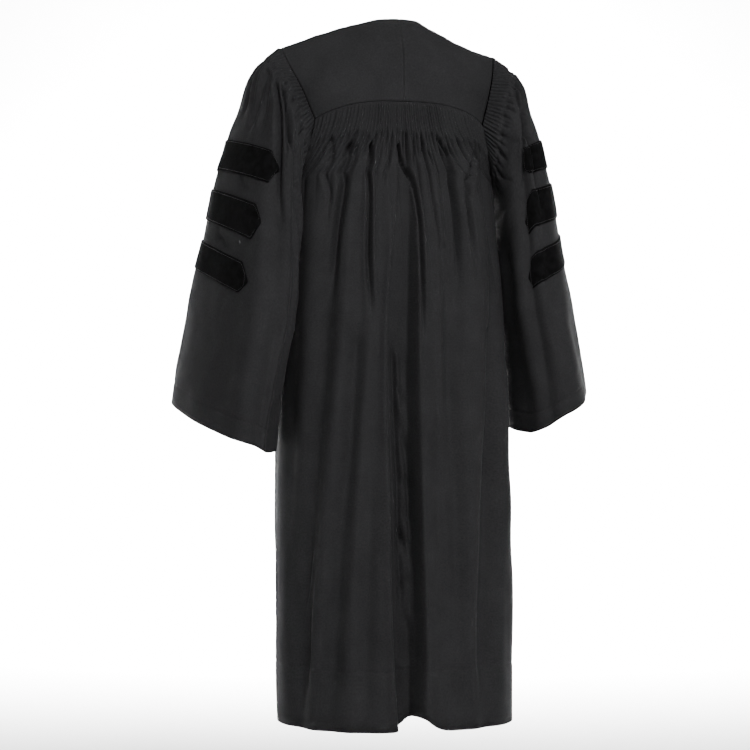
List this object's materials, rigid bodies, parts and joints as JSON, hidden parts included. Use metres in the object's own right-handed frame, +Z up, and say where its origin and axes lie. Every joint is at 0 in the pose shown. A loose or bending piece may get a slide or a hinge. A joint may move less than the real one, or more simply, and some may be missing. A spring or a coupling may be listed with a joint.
{
  "type": "graduation gown",
  "caption": "Doctoral graduation gown in its worn, hollow form: plain yoke over fluted back, bell sleeves with fluted heads and velvet bars, zip front.",
  "frame": {"origin": "midway between the shoulders, level with the neck end of the shoulder line, where the wearer's shoulders hold the gown up", "axes": "+Z up, the front faces -Y, the wearer's left is +X"},
  "size_m": [0.7562, 0.4168, 1.2542],
  "materials": {
    "gown_cloth": "matte black woven polyester",
    "velvet": "black velvet pile",
    "zip": "black nylon coil zip",
    "zip_metal": "black enamel"
  },
  "bodies": {
    "gown": {"back": "gown_cloth", "yoke_left": "gown_cloth", "yoke_right": "gown_cloth", "front_left": "gown_cloth", "front_right": "gown_cloth", "sleeve_left": "gown_cloth", "sleeve_right": "gown_cloth", "bar_left_1": "velvet", "bar_left_2": "velvet", "bar_left_3": "velvet", "bar_right_1": "velvet", "bar_right_2": "velvet", "bar_right_3": "velvet", "zip_coil": "zip", "zip_slider": "zip_metal"},
    "pull": {"zip_pull": "zip_metal"}
  },
  "joints": [
    {"name": "pull_swing", "type": "hinge", "parent": "gown", "child": "pull", "pos_m": [0, -0.10863, -0.135], "axis": [-1, 0, 0], "range_deg": [0, 150]}
  ]
}
